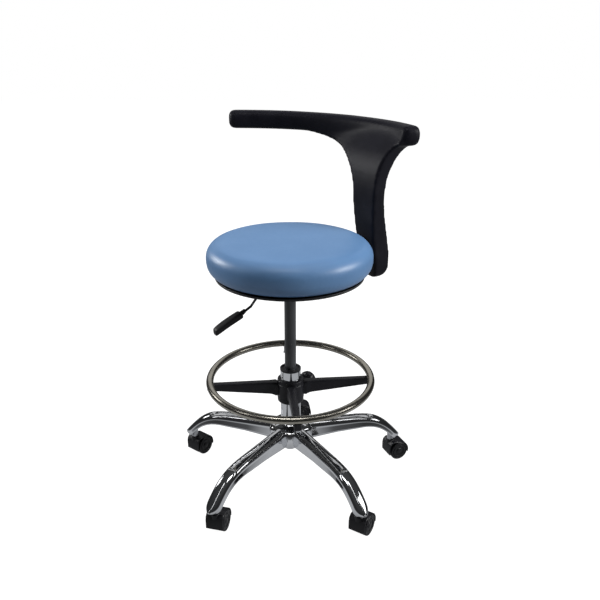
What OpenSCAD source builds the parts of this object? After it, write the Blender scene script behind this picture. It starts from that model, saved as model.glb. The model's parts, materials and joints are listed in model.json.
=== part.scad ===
// Height-adjustable clinic stool with a foot ring and a swing arm.
// Millimetres, +Z up. The origin is on the floor, under the axis of the column.
// The lift is drawn at the top of its stroke.

/* [Seat] */
// Diameter of the cushion
seat_d = 386; // [380:1:392]
// Height of the cushion's flat top above the floor
seat_z = 640; // [630:1:660]
// Thickness of the cushion
cushion_t = 75; // [70:1:84]
// Radius of the rolled cushion edge
cushion_roll = 33; // [24:1:34]
// Thickness of the vinyl cover
cover_t = 1.5; // [1:0.1:2]
// Diameter of the plastic pan under the cushion
pan_d = 356; // [340:1:360]
// Radius of the turntable disc that the swing bracket turns about
turntable_r = 95; // [92:1:97]

/* [Lift] */
// Diameter of the gas cylinder
stage_d = 28; // [27:0.5:28]
// Outer diameter of the column
column_d = 50; // [49:0.5:50]
// Height of the column's top edge
column_z = 312; // [306:1:314]
// Diameter of the piston rod
rod_d = 10; // [8:0.5:10]

/* [Base] */
// Radius of the circle that the caster stems stand on
stem_circle_r = 280; // [274:1:286]
// Width of one pressed-steel arm
arm_w = 33; // [31:1:34]
// Wall thickness of an arm
arm_wall = 2.5; // [2:0.1:3]
// Turn of the star base about the column, in degrees
base_turn = -2.5; // [-6:0.5:6]
// Radius of the central hub
hub_r = 48; // [46:1:50]

/* [Casters] */
// Diameter of a caster wheel
wheel_d = 50; // [46:1:50]
// Width of a caster wheel
wheel_w = 17.5; // [15:0.5:18]
// Distance from the stem back to the axle
trail = 19; // [17:0.5:20]

/* [Foot ring] */
// Radius of the ring's centre line
ring_r = 198.5; // [196:0.5:202]
// Diameter of the ring's tube
ring_tube_d = 18; // [16:1:20]
// Height of the ring's centre line
ring_z = 289; // [286:1:289]
// Turn of the spokes about the column, in degrees
ring_turn = 4.5; // [0:0.5:9]
// Direction of the clamp knob, in degrees
knob_turn = 46; // [42:1:50]

/* [Swing arm] */
// Direction of the post, in degrees
swing_turn = 30; // [0:1:45]
// Distance from the column axis out to the bar's centre line, at the post
bar_reach = 277; // [270:1:284]
// Radius that the bar curves at
bar_r = 405; // [380:1:430]
// Height of the bar's centre above the floor, at the post
bar_z = 867; // [862:1:872]
// Thickness and height of the bar
bar_t = 44; // [40:1:46]
// Rise of the bar towards its long end, in degrees
bar_tilt = 1.1; // [0:0.1:2]
// Length of the bar past the post on its long side
bar_long = 470; // [440:1:480]
// Length of the bar past the post on its short side
bar_short = 94; // [88:1:98]
// Width of the post below its flare
post_w = 83; // [78:1:86]

/* [Lever] */
// Direction of the height lever, in degrees
lever_turn = 210; // [204:1:216]
// Length of the lever's paddle grip
grip_len = 74; // [66:1:76]

/* [Hidden] */
$fn = 96;
ARMS = [1 : 5];

fit = 0.05;                 // radial clearance of a running fit

// seat stack, from the cushion down
seat_r = seat_d / 2;
cushion_z = seat_z - cushion_t;
board_r = 164;
board_t = 15;
board_z = cushion_z + cover_t + 0.5;
pan_r = pan_d / 2;
pan_z = cushion_z - 6;
pan_wall = 2.5;
washer_t = 0.9;
bracket_t = 6;
bracket_z = pan_z - 1 - bracket_t;
plate_t = 4;
plate_z = bracket_z - 1 - plate_t;
plate_r = turntable_r + 27;
bracket_rim_r = turntable_r + 25;
bolt_circle_r = 75;
bolt_turn = lever_turn + 45;

// lift mechanism
stage_r = stage_d / 2;
stage_wall = 1.8;
stage_end_z = 255;
stage_top_z = plate_z - 16;
housing_z = plate_z - 40;
housing_l = 84;
housing_w = 60;
housing_t = 3;
socket_z = plate_z - 49;
socket_wall = 5;
taper_z = socket_z - 1;
taper_top_r = stage_r - 0.8;
pin_z = plate_z - 7;
pin_reach = 32;
pin_r = 2.5;
valve_r = 3;
lever_r = 3;
lever_gap = 0.4;

// column and thrust bearing
column_r = column_d / 2;
column_wall = 1.8;
column_end_z = 104;
column_end_t = 3;
rod_r = rod_d / 2;
rod_z = 97;
piston_z = 277;
piston_h = 12;
clip_z = 100.8;
clip_t = 1.6;
ball_r = 2;
ball_circle_r = 12;
race_t = 1.5;
race_z = column_end_z + column_end_t;
bush_len = 67;
collar_t = 4.5;

// base: side outline of an arm, radius and height
hub_z = 114;
hub_h = 46;
hub_wall = 3;
arm_tip_r = stem_circle_r + 22;
socket_r = 8.5;
stem_r = 5.5;

// casters
wheel_r = wheel_d / 2;
web_t = 6;
wheel_gap = 0.5;
axle_r = 3;
hood_gap = 1.3;
hood_t = 2.2;
hood_top = 57;
hood_w = web_t + 2 * wheel_gap + 2 * wheel_w;
CASTER_TURN = [5, 52, 75, 57, 22];      // trailing direction of each caster, in degrees

// foot ring
ring_hub_r = 32.4;
ring_hub_z = 228;
ring_hub_h = 60;
liner_t = 2;
spoke_w = 21;
spoke_top_z = ring_z - 8;
spoke_root_h = 34;
spoke_tip_h = 16;
spoke_tip_r = ring_r + 7;
ring_tube_r = ring_tube_d / 2;
ring_wall = 1.5;
ring_screw_r = 2.5;
knob_z = 257;
knob_face_r = 47;
knob_r = 20;
clamp_screw_r = 5;

// swing arm
post_foot_z = 515;
leg_r = 236;                            // inner face of the bracket's upright
leg_top_z = 646;
bracket_w = 45;
insert_w = 40;
insert_t = 5;
arm_bolt_r = 4;
ARM_BOLT_Z = [590, 622];

// ---- geometry helpers ----

function mix(a, b, t) = a + (b - a) * t;

// point at t on a cubic curve through four control points
function bezier(p, t) =
    pow(1 - t, 3) * p[0] + 3 * t * pow(1 - t, 2) * p[1]
    + 3 * t * t * (1 - t) * p[2] + pow(t, 3) * p[3];

function curve(p, steps) = [for (i = [0 : steps]) bezier(p, i / steps)];

function arm_angle(i) = 90 + base_turn + 72 * (i - 1);

module ring(r_out, r_in, h, z = 0) {
    translate([0, 0, z])
        difference() {
            cylinder(r = r_out, h = h);
            translate([0, 0, -1]) cylinder(r = r_in, h = h + 2);
        }
}

module torus(r, tube_r, z = 0) {
    translate([0, 0, z]) rotate_extrude() translate([r, 0]) circle(r = tube_r);
}

// round rod through a list of points, with a slightly swollen ball at each bend
module bent_rod(path, r) {
    last = len(path) - 1;
    for (k = [0 : last - 1]) {
        d = path[k + 1] - path[k];
        translate(path[k])
            rotate([0, acos(d[2] / norm(d)), atan2(d[1], d[0])])
                cylinder(r = r, h = norm(d), $fn = 32);
    }
    for (k = [1 : last - 1]) translate(path[k]) sphere(r = r + 0.12, $fn = 32);
}

// cylinder along +X, starting at x
module x_cylinder(x, r, len) {
    translate([x, 0, 0]) rotate([0, 90, 0]) cylinder(r = r, h = len);
}

// cylinder across Y, centred
module y_cylinder(r, len) {
    rotate([90, 0, 0]) cylinder(r = r, h = len, center = true);
}

// plate standing in the XZ plane, centred on Y, from a side outline
module side_plate(outline, w) {
    rotate([90, 0, 0]) linear_extrude(height = w, center = true) polygon(outline);
}

module at_bolts() {
    for (i = [0 : 3])
        rotate([0, 0, bolt_turn + 90 * i]) translate([bolt_circle_r, 0, 0]) children();
}

// ---- seat ----

// half section of the cushion, shrunk by s all round
module cushion_section(s) {
    r = cushion_roll - s;
    flat_r = seat_r - cushion_roll;
    side_h = cushion_t - 2 * cushion_roll;
    translate([0, s]) square([flat_r, cushion_t - 2 * s]);
    translate([0, cushion_roll]) square([seat_r - s, side_h]);
    translate([flat_r, cushion_roll]) circle(r = r);
    translate([flat_r, cushion_t - cushion_roll]) circle(r = r);
}

module cushion_solid(s) {
    translate([0, 0, cushion_z])
        rotate_extrude()
            intersection() {
                square([seat_r, cushion_t]);
                cushion_section(s);
            }
}

module seat_cover() {
    color([0.36, 0.55, 0.78])
        difference() {
            cushion_solid(0);
            cushion_solid(cover_t);
            translate([0, 0, cushion_z - 1]) cylinder(r = board_r - 30, h = cover_t + 2);
        }
}

module seat_foam() {
    color([0.92, 0.86, 0.62])
        difference() {
            cushion_solid(cover_t + 0.2);
            translate([0, 0, cushion_z - 1])
                cylinder(r = board_r + 0.2, h = board_z + board_t + 0.2 - cushion_z + 1);
            at_bolts() translate([0, 0, board_z]) cylinder(r = 11.5, h = board_t + 2);
        }
}

module seat_board() {
    color([0.76, 0.62, 0.42])
        difference() {
            translate([0, 0, board_z]) cylinder(r = board_r, h = board_t);
            at_bolts() translate([0, 0, board_z - 1]) cylinder(r = 5, h = board_t + 2);
        }
}

module tee_nuts() {
    color([0.7, 0.7, 0.72])
        at_bolts() {
            ring(5, 4, board_t - 2, board_z + 2);
            ring(11, 4, 1.5, board_z + board_t);
        }
}

module seat_pan() {
    color([0.08, 0.08, 0.09])
        difference() {
            translate([0, 0, pan_z]) cylinder(r = pan_r, h = cushion_z - pan_z);
            translate([0, 0, pan_z + pan_wall]) cylinder(r = pan_r - 4, h = cushion_z);
            translate([0, 0, pan_z - 1]) cylinder(r = turntable_r + 0.2, h = cushion_z);
        }
}

module turntable() {
    color([0.78, 0.78, 0.8])
        difference() {
            translate([0, 0, plate_z + plate_t])
                cylinder(r = turntable_r, h = board_z - plate_z - plate_t);
            translate([0, 0, plate_z]) cylinder(r = 24, h = board_z);
            at_bolts() translate([0, 0, plate_z]) cylinder(r = 4.2, h = board_z);
        }
}

module swing_washers() {
    color([0.93, 0.93, 0.9]) {
        ring(bracket_rim_r, turntable_r + 0.2, washer_t, pan_z - washer_t);
        ring(bracket_rim_r, turntable_r + 0.2, washer_t, plate_z + plate_t);
    }
}

module mount_plate() {
    color([0.14, 0.14, 0.15])
        difference() {
            translate([0, 0, plate_z]) cylinder(r = plate_r, h = plate_t);
            translate([0, 0, plate_z - 1]) cylinder(r = 16, h = plate_t + 2);
            at_bolts() translate([0, 0, plate_z - 1]) cylinder(r = 4.2, h = plate_t + 2);
        }
}

module plate_bolts() {
    color([0.7, 0.7, 0.72])
        at_bolts() {
            translate([0, 0, plate_z - 5.5]) cylinder(r = 7, h = 5.5, $fn = 6);
            translate([0, 0, plate_z]) cylinder(r = 4, h = board_z + board_t - plate_z);
        }
}

module mechanism_housing() {
    color([0.14, 0.14, 0.15])
        rotate([0, 0, lever_turn])
            difference() {
                union() {
                    translate([-housing_l / 2, -housing_w / 2, housing_z])
                        cube([housing_l, housing_w, plate_z - housing_z]);
                    translate([0, 0, socket_z])
                        cylinder(r = taper_top_r + socket_wall, h = stage_top_z - socket_z);
                }
                difference() {
                    translate([-housing_l / 2 + housing_t, -housing_w / 2 + housing_t,
                               housing_z + housing_t])
                        cube([housing_l - 2 * housing_t, housing_w - 2 * housing_t, plate_z]);
                    cylinder(r = taper_top_r + socket_wall, h = stage_top_z);
                }
                stage_taper(0.02);
                translate([housing_l / 2 - housing_t - 1, -6, pin_z - 7])
                    cube([housing_t + 2, 12, 14]);
                translate([pin_reach, 0, pin_z]) y_cylinder(pin_r, housing_w + 2);
            }
}

module lever_pin() {
    color([0.75, 0.75, 0.77])
        rotate([0, 0, lever_turn])
            translate([pin_reach, 0, pin_z]) y_cylinder(pin_r, housing_w + 4);
}

// ---- gas lift ----

// tapered upper end of the gas cylinder, grown by g
module stage_taper(g) {
    translate([0, 0, taper_z])
        cylinder(r1 = stage_r + g, r2 = taper_top_r + g, h = stage_top_z - taper_z + g);
}

module gas_cylinder() {
    color([0.2, 0.21, 0.22])
        difference() {
            union() {
                translate([0, 0, stage_end_z]) cylinder(r = stage_r, h = taper_z - stage_end_z);
                stage_taper(0);
            }
            translate([0, 0, stage_end_z - 1])
                cylinder(r = stage_r - stage_wall, h = stage_top_z - stage_end_z - 9);
            cylinder(r = valve_r + fit, h = stage_top_z + 1);
        }
}

module rod_guide() {
    color([0.75, 0.76, 0.78]) ring(stage_r - stage_wall, rod_r + fit, 16, stage_end_z + 1);
}

module valve_pin() {
    color([0.8, 0.8, 0.82])
        translate([0, 0, stage_top_z - 14])
            cylinder(r = valve_r, h = pin_z - lever_r - lever_gap - stage_top_z + 14);
}

module piston_rod() {
    color([0.82, 0.83, 0.85])
        difference() {
            union() {
                translate([0, 0, rod_z]) cylinder(r = rod_r, h = piston_z + piston_h + 1 - rod_z);
                translate([0, 0, race_z + race_t + 2 * ball_r + 0.05])
                    cylinder(r = ball_circle_r + 3, h = 2);
            }
            ring(rod_r + 1, rod_r - 1, clip_t + 0.6, clip_z - 0.3);
        }
}

module piston() {
    color([0.12, 0.12, 0.13]) ring(stage_r - stage_wall - fit, rod_r, piston_h, piston_z);
}

module rod_clip() {
    color([0.75, 0.75, 0.77])
        difference() {
            ring(rod_r + 4, rod_r - 1, clip_t, clip_z);
            translate([0, -2.5, clip_z - 1]) cube([rod_r + 6, 5, clip_t + 2]);
        }
}

module thrust_race() {
    color([0.75, 0.76, 0.78]) ring(ball_circle_r + 4, rod_r + 1, race_t, race_z);
}

module thrust_balls() {
    color([0.85, 0.86, 0.88])
        for (i = [0 : 11])
            rotate([0, 0, 30 * i])
                translate([ball_circle_r, 0, race_z + race_t + ball_r])
                    sphere(r = ball_r, $fn = 24);
}

module column_tube() {
    color([0.86, 0.87, 0.89])
        difference() {
            translate([0, 0, column_end_z]) cylinder(r = column_r, h = column_z - column_end_z);
            translate([0, 0, race_z]) cylinder(r = column_r - column_wall, h = column_z);
            translate([0, 0, column_end_z - 1]) cylinder(r = rod_r + 0.3, h = 6);
        }
}

module column_bush() {
    color([0.06, 0.06, 0.07])
        difference() {
            union() {
                ring(column_r - column_wall, stage_r + fit, bush_len, column_z - bush_len);
                ring(column_r + 0.8, stage_r + fit, collar_t, column_z);
            }
            // shallow dish in the collar's top
            translate([0, 0, column_z + collar_t - 2]) cylinder(r = column_r - 3.5, h = 3);
        }
}

// ---- star base ----

module base_hub() {
    color([0.84, 0.85, 0.87])
        difference() {
            ring(hub_r, column_r, hub_h, hub_z);
            ring(hub_r - hub_wall, column_r + hub_wall, hub_h, hub_z - hub_wall);
        }
}

// upper edge of an arm from the hub to its tip
function arm_top(drop) = concat(
    [[hub_r - 6, 157 - drop], [120, 152.5 - drop]],
    curve([[175, 149 - drop], [235 - drop / 3, 146 - drop],
           [262 - drop / 2, 120 - drop], [arm_tip_r - drop, 71 - drop / 2]], 12));

// lower edge of an arm from its tip back to the hub
function arm_bottom() = concat(
    [[arm_tip_r - 4, 61], [288, 62]],
    curve([[284, 67], [254, 110], [226, 123], [180, 121]], 10),
    [[120, 121], [hub_r - 6, 116]]);

module base_arm(i) {
    inner = concat(arm_top(arm_wall), [[arm_tip_r - arm_wall, 40], [hub_r - 7, 40]]);
    color([0.84, 0.85, 0.87])
        rotate([0, 0, arm_angle(i)])
            difference() {
                side_plate(concat(arm_top(0), arm_bottom()), arm_w);
                side_plate(inner, arm_w - 2 * arm_wall);
                cylinder(r = hub_r, h = 200);
            }
}

module caster_sockets() {
    color([0.7, 0.71, 0.73])
        for (i = ARMS)
            rotate([0, 0, arm_angle(i)])
                difference() {
                    intersection() {
                        translate([stem_circle_r, 0, 60.5]) union() {
                            cylinder(r = socket_r, h = 40);
                            translate([-2, -arm_w / 2 + arm_wall, 6])
                                cube([4, arm_w - 2 * arm_wall, 40]);
                        }
                        side_plate(concat([[200, 0]], arm_top(arm_wall + 0.2), [[400, 0]]), 60);
                    }
                    translate([stem_circle_r, 0, 0]) cylinder(r = stem_r + 0.1, h = 80.5);
                }
}

// ---- casters ----

// moves a caster from the origin, trailing along +X, to its arm
module at_caster(i) {
    rotate([0, 0, arm_angle(i)])
        translate([stem_circle_r, 0, 0])
            rotate([0, 0, CASTER_TURN[i - 1] - arm_angle(i)]) children();
}

module at_axle() {
    translate([trail, 0, wheel_r]) children();
}

// steel stem and steel axle, two separate pins
module caster_pins(i) {
    color([0.75, 0.76, 0.78])
        at_caster(i) {
            translate([0, 0, 47]) cylinder(r = stem_r, h = 33);
            translate([0, 0, hood_top]) cylinder(r = 9, h = 1.5);
            at_axle() y_cylinder(axle_r, hood_w - 4);
        }
}

module caster_hood(i) {
    outer_r = wheel_r + hood_gap + hood_t;
    color([0.05, 0.05, 0.06])
        at_caster(i)
            difference() {
                union() {
                    at_axle() y_cylinder(outer_r, hood_w);
                    translate([-11, -hood_w / 2, 24]) cube([trail + 11, hood_w, hood_top - 24]);
                }
                // pockets for the two wheels, either side of the web
                for (side = [-1, 1])
                    translate([0, side * (web_t / 2 + hood_w), 0]) {
                        at_axle() y_cylinder(wheel_r + hood_gap, 2 * hood_w);
                        translate([trail, -hood_w, -10]) cube([60, 2 * hood_w, wheel_r + 4]);
                        translate([trail - wheel_r - hood_gap, -hood_w, -10])
                            cube([40, 2 * hood_w, wheel_r + 10]);
                    }
                // underside, open below the axle
                translate([-60, -60, -20]) cube([120, 120, 20 + 9]);
                // tapered rear and front of the top
                translate([trail + 6, -60, hood_top - 4]) rotate([0, 36, 0]) cube([60, 120, 40]);
                cylinder(r = stem_r, h = 200);
                at_axle() y_cylinder(axle_r, 100);
            }
}

module caster_wheel(i, side) {
    face = web_t / 2 + wheel_gap;
    round_r = 2.5;
    color([0.09, 0.09, 0.1])
        at_caster(i) at_axle()
            rotate([side * -90, 0, 0])
                difference() {
                    translate([0, 0, face]) rotate_extrude() {
                        square([wheel_r - round_r, wheel_w]);
                        translate([0, round_r]) square([wheel_r, wheel_w - 2 * round_r]);
                        translate([wheel_r - round_r, round_r]) circle(r = round_r);
                        translate([wheel_r - round_r, wheel_w - round_r]) circle(r = round_r);
                    }
                    // dished outer face
                    ring(wheel_r - 5, 8, 3, face + wheel_w - 1.2);
                    cylinder(r = axle_r + fit, h = face + wheel_w - 1.8);
                }
}

module caster_wheel_left(i) {
    caster_wheel(i, 1);
}

module caster_wheel_right(i) {
    caster_wheel(i, -1);
}

// ---- foot ring ----

module ring_liner() {
    r_in = column_r + fit;
    color([0.1, 0.1, 0.11])
        difference() {
            union() {
                ring(r_in + liner_t, r_in, ring_hub_h + 2, ring_hub_z - 1);
                ring(r_in + 3.5, r_in, 0.9, ring_hub_z - 1);
                ring(r_in + 3.5, r_in, 0.9, ring_hub_z + ring_hub_h + 0.1);
            }
            // split that lets the liner close on the column
            translate([0, -1.5, ring_hub_z - 2]) cube([40, 3, ring_hub_h + 5]);
        }
}

// one tapering spoke along +X, with a saddle under the ring's tube
module spoke() {
    root_r = ring_hub_r - 3;
    tip_w = spoke_w - 6;
    intersection() {
        side_plate([[root_r, spoke_top_z - spoke_root_h], [spoke_tip_r, spoke_top_z - spoke_tip_h],
                    [spoke_tip_r, spoke_top_z], [root_r, spoke_top_z]], 2 * spoke_w);
        linear_extrude(height = 400)
            polygon([[0, -spoke_w / 2], [spoke_tip_r, -tip_w / 2], [spoke_tip_r, tip_w / 2],
                     [0, spoke_w / 2]]);
    }
}

module at_ring_screws() {
    for (i = [0 : 3])
        rotate([0, 0, ring_turn + 90 * i]) translate([ring_r, 0, 0]) children();
}

module ring_hub() {
    color([0.07, 0.07, 0.08])
        difference() {
            union() {
                translate([0, 0, ring_hub_z]) cylinder(r = ring_hub_r, h = ring_hub_h);
                for (i = [0 : 3]) rotate([0, 0, ring_turn + 90 * i]) spoke();
                rotate([0, 0, knob_turn]) translate([0, 0, knob_z]) x_cylinder(20, 12, 25);
            }
            translate([0, 0, ring_hub_z - 1])
                cylinder(r = column_r + liner_t + 2 * fit, h = ring_hub_h + 2);
            torus(ring_r, ring_tube_r, ring_z);
            rotate([0, 0, knob_turn])
                translate([0, 0, knob_z]) x_cylinder(20, clamp_screw_r + fit, 40);
            at_ring_screws() cylinder(r = ring_screw_r, h = ring_z);
        }
}

module ring_tube() {
    color([0.66, 0.66, 0.62])
        difference() {
            torus(ring_r, ring_tube_r, ring_z);
            torus(ring_r, ring_tube_r - ring_wall, ring_z);
            at_ring_screws() translate([0, 0, 240]) cylinder(r = ring_screw_r, h = ring_z - 240);
        }
}

module ring_screws() {
    color([0.7, 0.7, 0.72])
        at_ring_screws() {
            translate([0, 0, ring_z - 28]) cylinder(r = 4.5, h = 2.6);
            translate([0, 0, ring_z - 26]) cylinder(r = ring_screw_r, h = 21);
        }
}

module clamp_screw() {
    color([0.75, 0.76, 0.78])
        rotate([0, 0, knob_turn])
            translate([0, 0, knob_z])
                x_cylinder(column_r + liner_t + 3 * fit, clamp_screw_r, 36);
}

module clamp_knob() {
    color([0.06, 0.06, 0.07])
        rotate([0, 0, knob_turn])
            translate([knob_face_r, 0, knob_z])
                rotate([0, 90, 0])
                    difference() {
                        union() {
                            cylinder(r = 11, h = 8);
                            translate([0, 0, 6])
                                linear_extrude(height = 18) {
                                    circle(r = knob_r);
                                    for (i = [0 : 5])
                                        rotate(60 * i + 15) translate([knob_r - 3, 0]) circle(r = 7);
                                }
                        }
                        cylinder(r = clamp_screw_r, h = 16.3);
                    }
}

// ---- height lever ----

// upper end of the grip: reach from the column axis, and drop below the pin
grip_start = [130, 0, pin_z - 53];
grip_slope = 30;
grip_bore = 26;

// bends of the lever from the mechanism down into the grip
function lever_path() = let (z = pin_z) [
    [36, 0, z], [72, 0, z - 3], [92, 0, z - 26], [104, 0, z - 40],
    grip_start + 24 * [cos(grip_slope), 0, -sin(grip_slope)]];

module lever_rod() {
    color([0.12, 0.12, 0.13])
        rotate([0, 0, lever_turn])
            difference() {
                union() {
                    translate([-3, -4, pin_z - lever_r]) cube([41, 8, 2 * lever_r]);
                    translate([pin_reach, 0, pin_z]) y_cylinder(5.5, 8);
                    bent_rod(lever_path(), lever_r);
                }
                translate([pin_reach, 0, pin_z]) y_cylinder(pin_r + fit, 20);
            }
}

module lever_grip() {
    color([0.06, 0.06, 0.07])
        rotate([0, 0, lever_turn])
            translate(grip_start)
                rotate([0, grip_slope, 0])
                    difference() {
                        translate([0, 0, -5]) {
                            translate([8, 0, 0]) cylinder(r = 8, h = 10);
                            translate([8, -8, 0]) cube([16, 16, 10]);
                            translate([20, -11, 0.5]) cube([grip_len - 31, 22, 9]);
                            translate([grip_len - 11, 0, 0.5]) cylinder(r = 11, h = 9);
                        }
                        x_cylinder(-1, lever_r, grip_bore);
                    }
}

// ---- swing arm ----

// centre line of the post from its foot up into the bar: reach and height
POST_LINE = [[238, post_foot_z], [263, 616], [148, 761], [bar_reach + 13, bar_z + 6]];
POST_REACH = [for (p = curve(POST_LINE, 40)) [p[1], p[0]]];

// flare of the post into the bar on its short and long side: widening and height
flare_top_z = bar_z - 14;
FLARE_SHORT = [[0, 542], [0, 843], [11, 838], [bar_short - 53, flare_top_z - 6]];
FLARE_LONG = [[0, 727], [0, 764], [40, 828], [204, flare_top_z]];
FLARES = [for (f = [FLARE_SHORT, FLARE_LONG]) [for (p = curve(f, 30)) [p[1], p[0]]]];
post_corner_r = 26;
POST_ACROSS = 20;

// heights of the rows of points up the post, closer together in its foot and flare
POST_ROWS = concat(
    [for (a = [0 : 18 : 90]) post_foot_z + post_corner_r * (1 - cos(a))],
    [for (k = [1 : 7]) mix(post_foot_z + post_corner_r, FLARE_LONG[0][1], k / 7)],
    [for (a = [8 : 8 : 88]) mix(FLARE_LONG[0][1], flare_top_z, sin(a))],
    [flare_top_z, bar_z - 6, bar_z + 6]);

// half thickness of the post at height z
function post_half(z) = lookup(z, [
    [post_foot_z, 8], [520, 14], [530, 17.5], [545, 20.5], [600, 22], [630, 21],
    [660, 19], [690, 16.8], [720, 16], [760, 16.5], [bar_z, bar_t / 2]]);

// distance from the post's middle to its edge at height z, on one side
function post_edge(z, flare) =
    let (up = max(0, post_corner_r - (z - post_foot_z)))
        post_w / 2 - lookup(z, [[620, 5.5], [710, 0]])
        - post_corner_r + sqrt(pow(post_corner_r, 2) - pow(up, 2)) + lookup(z, flare);

// reach of the bar's surface, off from its centre line, y along it
function bar_face(y, off) = bar_reach - bar_r + sqrt(pow(bar_r + off, 2) - pow(y, 2));

// lesser of a and b, eased into each other over a distance of 24
function soft_min(a, b) = min(a, b) - 6 * pow(max(0, 1 - abs(a - b) / 24), 2);

// point of the post's inner (side -1) or outer (side 1) face, which runs into the bar's face
function post_point(z, share, side) =
    let (y = mix(-post_edge(z, FLARES[0]), post_edge(z, FLARES[1]), share))
        [soft_min(lookup(z, POST_REACH) + side * post_half(z), bar_face(y, side * (bar_t / 2 - 2))),
         y, z];

module post() {
    m = POST_ACROSS;
    last = len(POST_ROWS) - 1;
    far = (last + 1) * (m + 1);         // index of the outer face's first point
    points = [for (side = [-1, 1]) for (z = POST_ROWS) for (j = [0 : m]) post_point(z, j / m, side)];
    faces = [for (k = [0 : last - 1]) for (j = [0 : m - 1])
        let (a = k * (m + 1) + j, b = a + m + 1) for (f = [
            [a, a + 1, b + 1, b], [far + a, far + b, far + b + 1, far + a + 1]]) f];
    ends = [for (j = [0 : m - 1]) let (t = last * (m + 1) + j) for (f = [
        [j, far + j, far + j + 1, j + 1], [t, t + 1, far + t + 1, far + t]]) f];
    edges = [for (k = [0 : last - 1]) let (a = k * (m + 1), b = a + m + 1) for (f = [
        [a, b, far + b, far + a], [a + m, far + a + m, far + b + m, b + m]]) f];
    polyhedron(points, concat(faces, ends, edges));
}

// the bar's section as a squarish oval: radial and vertical offsets
BAR_SECTION = [for (a = [0 : 15 : 350])
    bar_t / 2 * [sign(cos(a)) * pow(abs(cos(a)), 0.6), sign(sin(a)) * pow(abs(sin(a)), 0.6)]];

// stations along the bar, length and scale, closing in at both rounded ends
bar_cap = 13;
BAR_STATIONS = concat(
    [for (a = [90 : -15 : 0]) [-bar_short + bar_cap - bar_cap * sin(a), mix(0.4, 1, cos(a))]],
    [for (k = [1 : 27]) [mix(bar_cap - bar_short, bar_long - bar_cap, k / 28), 1]],
    [for (a = [0 : 15 : 90]) [bar_long - bar_cap + bar_cap * sin(a), mix(0.4, 1, cos(a))]]);

// curved bar, swept through its stations
module bar() {
    n = len(BAR_SECTION);
    last = len(BAR_STATIONS) - 1;
    points = [for (s = BAR_STATIONS) for (p = BAR_SECTION)
        let (turn = s[0] / bar_r * 180 / PI, r = bar_r + s[1] * p[0])
            [bar_reach - bar_r + r * cos(turn), r * sin(turn), s[1] * p[1]]];
    sides = [for (k = [0 : last - 1]) for (j = [0 : n - 1])
        let (i = (j + 1) % n) [k * n + j, k * n + i, (k + 1) * n + i, (k + 1) * n + j]];
    translate([0, 0, bar_z])
        rotate([bar_tilt, 0, 0])
            polyhedron(points, concat([[for (j = [n - 1 : -1 : 0]) j]],
                                      sides, [[for (j = [0 : n - 1]) last * n + j]]));
}

// steel plate that leans with the post's centre line, foam-moulded in
module insert_plate(w, g) {
    side_plate([[leg_r - insert_t - g, 566], [leg_r + g, 566], [leg_r + g, leg_top_z],
                [221.5 + g, 745], [235 + g, 800], [276 + g, 856 + g], [270 - g, 860 + g],
                [229 - g, 803], [215 - g, 745], [leg_r - insert_t - g, leg_top_z - 8]], w);
}

module bracket_leg(w, g) {
    translate([leg_r - g, -w / 2, bracket_z - g])
        cube([bracket_t + 2 * g, w, leg_top_z - bracket_z + 2 * g]);
}

module at_arm_bolts() {
    for (z = ARM_BOLT_Z) translate([0, 0, z]) children();
}

module arm_pad() {
    color([0.05, 0.05, 0.06])
        rotate([0, 0, swing_turn])
            difference() {
                union() {
                    bar();
                    post();
                }
                insert_plate(insert_w + 0.4, 0.2);
                bracket_leg(bracket_w + 0.4, 0.2);
                translate([180, -bracket_w / 2 - 0.2, bracket_z - 0.2])
                    cube([leg_r - 178, bracket_w + 0.4, bracket_t + 0.4]);
                at_arm_bolts() x_cylinder(leg_r + bracket_t, 8.2, 40);
            }
}

module arm_insert() {
    color([0.6, 0.6, 0.62])
        rotate([0, 0, swing_turn])
            difference() {
                insert_plate(insert_w, 0);
                at_arm_bolts() x_cylinder(200, arm_bolt_r, 60);
            }
}

module arm_bolts() {
    color([0.12, 0.12, 0.13])
        rotate([0, 0, swing_turn])
            at_arm_bolts() {
                x_cylinder(leg_r + bracket_t, 6.5, 5);
                x_cylinder(leg_r - insert_t, arm_bolt_r, insert_t + bracket_t + 1);
            }
}

module swing_bracket() {
    color([0.14, 0.14, 0.15])
        rotate([0, 0, swing_turn])
            difference() {
                union() {
                    ring(bracket_rim_r, turntable_r + fit, bracket_t, bracket_z);
                    translate([turntable_r + 12, -bracket_w / 2, bracket_z])
                        cube([leg_r - turntable_r - 12 + bracket_t, bracket_w, bracket_t]);
                    bracket_leg(bracket_w, 0);
                }
                at_arm_bolts() x_cylinder(leg_r - 1, arm_bolt_r, bracket_t + 2);
            }
}

// ---- nodes ----

base_hub();
caster_sockets();
column_tube();
column_bush();
thrust_race();
thrust_balls();
for (i = ARMS) base_arm(i);
piston_rod();
piston();
rod_clip();
gas_cylinder();
rod_guide();
mount_plate();
mechanism_housing();
lever_pin();
turntable();
swing_washers();
plate_bolts();
tee_nuts();
seat_board();
seat_foam();
seat_cover();
seat_pan();
valve_pin();
lever_rod();
lever_grip();
swing_bracket();
arm_insert();
arm_pad();
arm_bolts();
ring_liner();
ring_hub();
ring_tube();
ring_screws();
clamp_knob();
clamp_screw();
for (i = ARMS) {
    caster_pins(i);
    caster_hood(i);
    caster_wheel_left(i);
    caster_wheel_right(i);
}
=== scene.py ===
"""Looks of the height-adjustable clinic stool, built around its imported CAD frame."""

import json
import math

import bpy  # noqa: E402
import numpy as np  # noqa: E402
from mathutils import Euler, Matrix, Vector  # noqa: E402

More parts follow.
